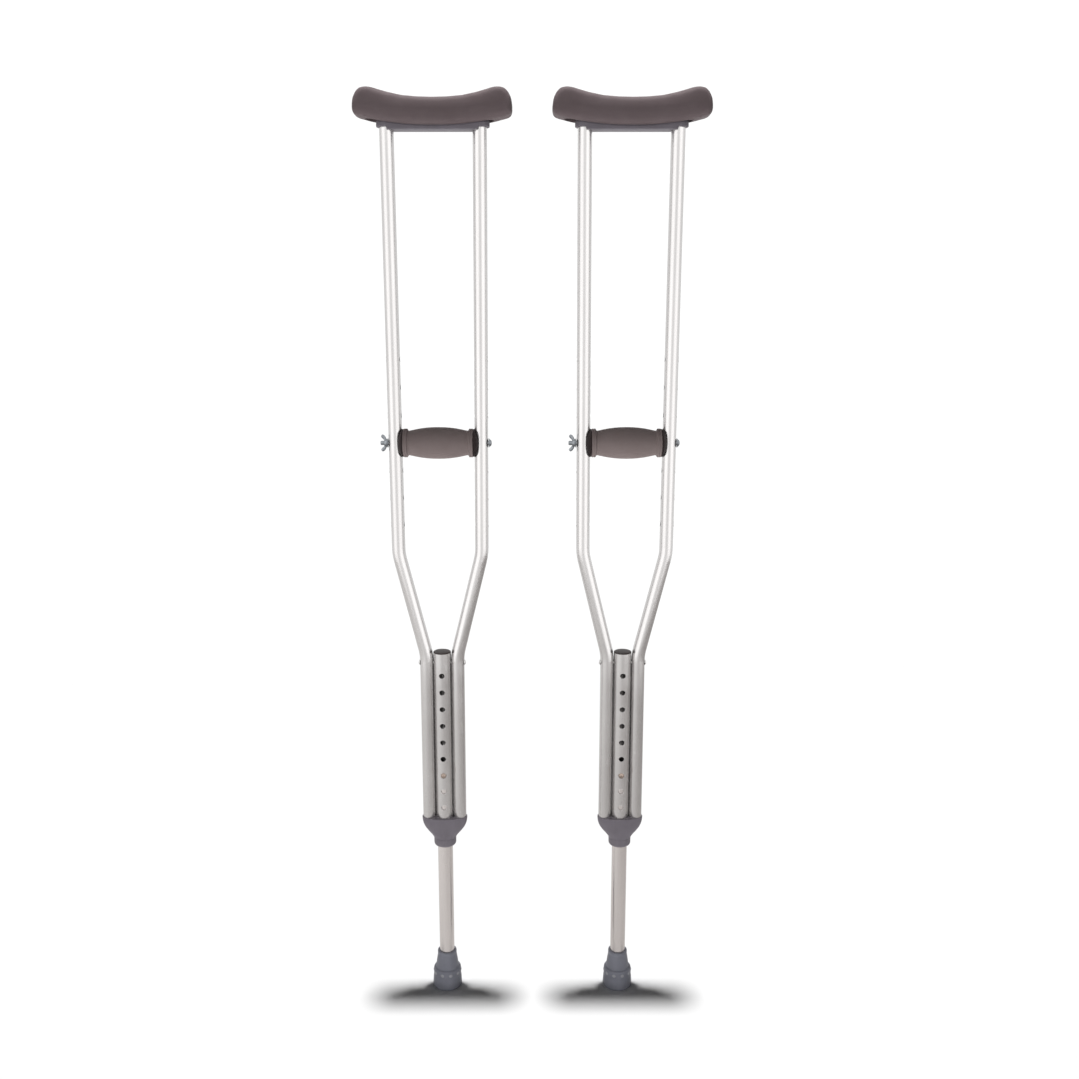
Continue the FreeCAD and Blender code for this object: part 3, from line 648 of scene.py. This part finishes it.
def vector(tree, x=0.0, y=0.0, z=0.0):
    return addNode(tree, "ShaderNodeCombineXYZ", {0: x, 1: y, 2: z}).outputs[0]


# hole rims
holeRim = {
    "lip": 0.00028,
    "centreTube": {"radius": 0.0127, "hole": 0.00415, "count": 9, "first": 0.2948, "pitch": 0.0254},
    "upright": {"radius": 0.009525, "hole": 0.0034, "count": 7, "first": 0.7177, "pitch": 0.0381,
                "from": 0.0588893, "lean": 0.004337},
}


def rimTree():  # rolled edges round a row of holes, each following the tube's round wall
    tree, given = newTree("holeRims", [
        ("Tube Radius", "NodeSocketFloat", 0.0127), ("Hole Radius", "NodeSocketFloat", 0.004),
        ("Lip", "NodeSocketFloat", 0.0003), ("Count", "NodeSocketInt", 9),
        ("Pitch", "NodeSocketFloat", 0.0254), ("Lean", "NodeSocketFloat", 0.0),
        ("Place", "NodeSocketVector", (0, 0, 0)), ("Turn", "NodeSocketFloat", 0.0),
    ])
    ring = addNode(tree, "GeometryNodeCurvePrimitiveCircle", {
        "Resolution": 36, "Radius": given["Hole Radius"],
    })
    position = addNode(tree, "GeometryNodeInputPosition").outputs[0]
    at = addNode(tree, "ShaderNodeSeparateXYZ", {0: position}).outputs
    radiusSquared = maths(tree, "POWER", given["Tube Radius"], 2.0)
    squares = maths(tree, "SUBTRACT", radiusSquared, maths(tree, "POWER", at[0], 2.0))
    depth = maths(tree, "MULTIPLY", maths(tree, "SQRT", squares), -1.0)
    wrapped = addNode(tree, "GeometryNodeSetPosition", {
        "Geometry": ring.outputs[0], "Position": vector(tree, at[0], depth, at[1]),
    })
    section = addNode(tree, "GeometryNodeCurvePrimitiveCircle", {"Resolution": 8, "Radius": given["Lip"]})
    rim = addNode(tree, "GeometryNodeCurveToMesh", {
        "Curve": wrapped.outputs[0], "Profile Curve": section.outputs[0],
    })
    rise = vector(tree, maths(tree, "MULTIPLY", given["Lean"], given["Pitch"]), 0.0, given["Pitch"])
    row = addNode(tree, "GeometryNodeMeshLine", {
        "Count": given["Count"], "Start Location": given["Place"], "Offset": rise,
    })
    copies = addNode(tree, "GeometryNodeInstanceOnPoints", {
        "Points": row.outputs[0], "Instance": rim.outputs[0],
        "Rotation": vector(tree, 0.0, 0.0, given["Turn"]),
    })
    closeTree(tree, copies.outputs[0], "tube_aluminium")
    return tree


def joined(name, pieces):  # several plain meshes as one piece
    shape = bmesh.new()
    for piece in pieces:
        shape.from_mesh(piece.data)
        bpy.data.objects.remove(piece)
    mesh = bpy.data.meshes.new(name)
    shape.to_mesh(mesh)
    shape.free()
    whole = bpy.data.objects.new(name, mesh)
    scene.collection.objects.link(whole)
    return whole


def rimRow(tube, x, lean, turn):  # the rims along one side of a tube
    size = holeRim[tube]
    return grown("row", rims, {
        "Tube Radius": size["radius"], "Hole Radius": size["hole"], "Lip": holeRim["lip"],
        "Count": size["count"], "Pitch": size["pitch"], "Lean": lean,
        "Place": (x, 0, size["first"]), "Turn": turn,
    })


rims = rimTree()
for side, middle in crutches.items():
    upright = holeRim["upright"]
    rows = [rimRow("centreTube", middle, 0.0, turn) for turn in (0, math.pi)]
    for way in (-1, 1):  # outer sides only, as the saddles slide along the inner ones
        x = middle + way * upright["from"]
        rows.append(rimRow("upright", x, way * upright["lean"], way * math.pi / 2))
    edges = joined(f"{side}_hole_rims", rows)
    edges.data.materials.append(finishes["tube_aluminium"])
    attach(edges, f"{side}_frame")
print("hole rims made")


# rubber tips
tipShape = {
    # from the middle of the tread, up the outside, over the rim and down the bore: (radius, height) in mm
    "outline": [(0, 0), (7, 0), (7.6, 1.8), (9.4, 1.8), (10, 0), (13, 0), (13.6, 1.8), (15.4, 1.8), (16, 0),
                (20.6, 0), (21.3, 0.3), (21.75, 0.9), (21.9, 1.7), (21.2, 15), (20.8, 16), (20.6, 18.5),
                (20.7, 19.5), (20.45, 27.8), (20.2, 29), (19.6, 29.9), (18.8, 30.4), (17.7, 30.8),
                (17.2, 31.4), (16.9, 32.6), (15.9, 41), (14.2, 51.6), (14.0, 52.4), (14.2, 53.3),
                (14.25, 56.3), (14.0, 57.3), (13.4, 57.85), (12.6, 58), (11.75, 58), (11.3, 57.6),
                (11.15, 57), (11.15, 8), (0, 8)],
    "around": 96,
}


def turned(middle, outline, around):  # a closed solid of revolution about Z, from one axis point to another
    shape = bmesh.new()
    rings = []
    for radius, height in outline[1:-1]:
        rings.append([
            shape.verts.new((middle + radius / 1000 * cosine, radius / 1000 * sine, height / 1000))
            for cosine, sine in roundSteps(around)
        ])
    skin(shape, rings, capped=False)
    for ring, height in ((rings[0], outline[0][1]), (rings[-1], outline[-1][1])):
        centre = shape.verts.new((middle, 0, height / 1000))
        for n in range(around):
            shape.faces.new((ring[n], ring[(n + 1) % around], centre))
    return shape


for side, middle in crutches.items():
    shape = turned(middle, tipShape["outline"], tipShape["around"])
    foot = meshPiece(f"{side}_tip_rubber", shape, "tip_rubber")
    keepCorners(foot, 38)
    settle(foot, f"{side}_leg", "tip_rubber", f"{side}_tip")
print("tips made")


# tip studs, in a paler copy of the tip rubber: a painted highlight
tipStud = {
    "count": 10,
    "around": 0.0205,
    "height": 0.0240,
    "long": 0.0048,
    "wide": 0.0052,
    "proud": 0.0008,
}


def studTree():  # low round studs in a ring about Z, half a space off the front
    tree, given = newTree("tipStuds", [
        ("Count", "NodeSocketInt", 10), ("Around", "NodeSocketFloat", 0.02),
        ("Place", "NodeSocketVector", (0, 0, 0)), ("First Turn", "NodeSocketFloat", 0.0),
        ("Stud Size", "NodeSocketVector", (0.0005, 0.0025, 0.003)),
    ])
    ring = addNode(tree, "GeometryNodeCurvePrimitiveCircle", {
        "Resolution": given["Count"], "Radius": given["Around"],
    })
    spots = addNode(tree, "GeometryNodeCurveToPoints", {"Curve": ring.outputs[0]}, mode="EVALUATED")
    ball = addNode(tree, "GeometryNodeMeshUVSphere", {"Segments": 20, "Rings": 12, "Radius": 1.0})
    number = addNode(tree, "GeometryNodeInputIndex").outputs[0]
    facing = maths(tree, "MULTIPLY", number, maths(tree, "DIVIDE", 2 * math.pi, given["Count"]))
    copies = addNode(tree, "GeometryNodeInstanceOnPoints", {
        "Points": spots.outputs[0], "Instance": ball.outputs[0],
        "Rotation": vector(tree, 0.0, 0.0, facing), "Scale": given["Stud Size"],
    })
    placed = addNode(tree, "GeometryNodeTransform", {
        "Geometry": copies.outputs[0], "Translation": given["Place"],
        "Rotation": vector(tree, 0.0, 0.0, given["First Turn"]),
    })
    closeTree(tree, placed.outputs[0], "tip_stud")
    return tree


studs = studTree()
for side, middle in crutches.items():
    size = tipStud
    ring = grown(f"{side}_tip_studs", studs, {
        "Count": size["count"], "Around": size["around"], "Place": (middle, 0, size["height"]),
        "Stud Size": (size["proud"], size["wide"] / 2, size["long"] / 2),
        "First Turn": math.pi / size["count"] - math.pi / 2,
    })
    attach(ring, f"{side}_leg")
print("tip studs made")


# bolt threads
boltThread = {
    "radius": 0.00285,
    "ridge": 0.00016,
    "pitch": 0.00125,
    "start": 0.0712,  # from the crutch's middle
    "end": 0.0757,
}


def threadTree():  # a helical ridge round a bolt that points along -X
    tree, given = newTree("boltThread", [
        ("Radius", "NodeSocketFloat", 0.003), ("Ridge", "NodeSocketFloat", 0.0002),
        ("Length", "NodeSocketFloat", 0.005), ("Turns", "NodeSocketFloat", 5.0),
        ("Place", "NodeSocketVector", (0, 0, 0)),
    ])
    spiral = addNode(tree, "GeometryNodeCurveSpiral", {
        "Resolution": 32, "Rotations": given["Turns"], "Height": given["Length"],
        "Start Radius": given["Radius"], "End Radius": given["Radius"],
    })
    section = addNode(tree, "GeometryNodeCurvePrimitiveCircle", {"Resolution": 6, "Radius": given["Ridge"]})
    ridge = addNode(tree, "GeometryNodeCurveToMesh", {
        "Curve": spiral.outputs[0], "Profile Curve": section.outputs[0], "Fill Caps": True,
    })
    placed = addNode(tree, "GeometryNodeTransform", {
        "Geometry": ridge.outputs[0], "Translation": given["Place"], "Rotation": (0, -math.pi / 2, 0),
    })
    closeTree(tree, placed.outputs[0], "zinc_steel")
    return tree


thread = threadTree()
for side, middle in crutches.items():
    size = boltThread
    length = size["end"] - size["start"]
    helix = grown(f"{side}_bolt_thread", thread, {
        "Radius": size["radius"], "Ridge": size["ridge"], "Length": length, "Turns": length / size["pitch"],
        "Place": (middle - size["start"], 0, gripHeight),
    })
    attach(helix, f"{side}_grip")
print("bolt threads made")


# floor, paler to the camera than in the tubes' reflections, where it is painted darker towards +X as
# painted shade
stage = {
    "floorRadius": 1.9,
    "backdrop": 1.05,  # world strength that the camera sees
    "fill": 0.05,  # world strength of the diffuse light
    "brightest": 3.0,  # the most that a reflected band may have
    # reflected strength round the crutches: (share of the way from front to back, strength)
    "bands": [(0.0, 1.25), (0.08, 1.3), (0.16, 1.95), (0.36, 1.95), (0.45, 1.2), (0.8, 1.05),
              (0.92, 1.15), (1.0, 1.2)],
}
floorShape = bmesh.new()
bmesh.ops.create_circle(floorShape, cap_ends=True, radius=stage["floorRadius"], segments=128)
floorMesh = bpy.data.meshes.new("floor")
floorShape.to_mesh(floorMesh)
floorShape.free()
floor = bpy.data.objects.new("floor", floorMesh)
scene.collection.objects.link(floor)
floorPaint, tree, shader, where = newFinish("floorPaint", Roughness=0.9, Specular_IOR_Level=0.05)
pale = tint(tree, noise(tree, where, 3, 2), (0.86, 0.86, 0.86), (0.88, 0.88, 0.88))
across = addNode(tree, "ShaderNodeSeparateXYZ", {0: where}).outputs[0]
# in reflections only, the floor is painted darker towards +X: painted shade, as from a lamp on the left
paintedReflectionShade = tint(tree, rescale(tree, across, -0.9, 0.9, 0, 1), (0.80, 0.79, 0.78), (0.42, 0.40, 0.39))
mirroredOnly = addNode(tree, "ShaderNodeLightPath").outputs["Is Glossy Ray"]
connect(tree, shader, Base_Color=tint(tree, mirroredOnly, pale, paintedReflectionShade))
floorMesh.materials.append(floorPaint)
print("floor laid")


# world: a plain backdrop, and bands of light that only the reflections see
world = bpy.data.worlds.new("studio")
scene.world = world
world.use_nodes = True
tree = world.node_tree
background = tree.nodes["Background"]
direction = addNode(tree, "ShaderNodeTexCoord").outputs["Generated"]
way = addNode(tree, "ShaderNodeSeparateXYZ", {0: direction}).outputs
turn = maths(tree, "ARCTAN2", way[0], maths(tree, "MULTIPLY", way[1], -1.0))
share = maths(tree, "DIVIDE", maths(tree, "ABSOLUTE", turn), math.pi)
bands = addNode(tree, "ShaderNodeValToRGB", {0: share})
ramp = bands.color_ramp
while len(ramp.elements) < len(stage["bands"]):
    ramp.elements.new(0.5)
for element, (position, level) in zip(ramp.elements, stage["bands"]):
    grey = level / stage["brightest"]
    element.position = position
    element.color = (grey, grey, grey, 1)
ray = addNode(tree, "ShaderNodeLightPath").outputs
mirrored = maths(tree, "MULTIPLY", bands.outputs[0], stage["brightest"])
unseen = either(tree, ray["Is Glossy Ray"], stage["fill"], mirrored)
strength = either(tree, ray["Is Camera Ray"], unseen, stage["backdrop"])
tree.links.new(strength, background.inputs["Strength"])
background.inputs["Color"].default_value = (1, 1, 1, 1)


# lamps
crutchesOnly = bpy.data.collections.new("crutchesOnly")
for item in scene.objects:
    if item.type == "MESH" and item != floor:
        crutchesOnly.objects.link(item)


def softbox(name, place, aim, width, height, power):  # a panel that lights the crutches and not the floor
    data = bpy.data.lights.new(name, "AREA")
    data.shape = "RECTANGLE"
    data.size, data.size_y = width, height
    data.energy = power
    lamp = bpy.data.objects.new(name, data)
    lamp.location = place
    lamp.rotation_euler = (Vector(aim) - Vector(place)).to_track_quat("-Z", "Y").to_euler()
    lamp.visible_camera = False
    lamp.visible_glossy = False
    lamp.light_linking.receiver_collection = crutchesOnly
    scene.collection.objects.link(lamp)


softbox("front", (-0.7, -2.5, 1.1), (0, 0, 0.7), 1.8, 1.6, 20)
softbox("back", (0.7, 2.5, 1.1), (0, 0, 0.7), 1.8, 1.6, 16)
overhead = bpy.data.lights.new("overhead", "SUN")  # its soft shadow of the pads lies round the feet
overhead.energy = 3.5
overhead.angle = math.radians(2.6)
lamp = bpy.data.objects.new("overhead", overhead)
lamp.rotation_euler = Vector((0, 0.027, 1)).to_track_quat("Z", "Y").to_euler()
scene.collection.objects.link(lamp)
print("stage lit")
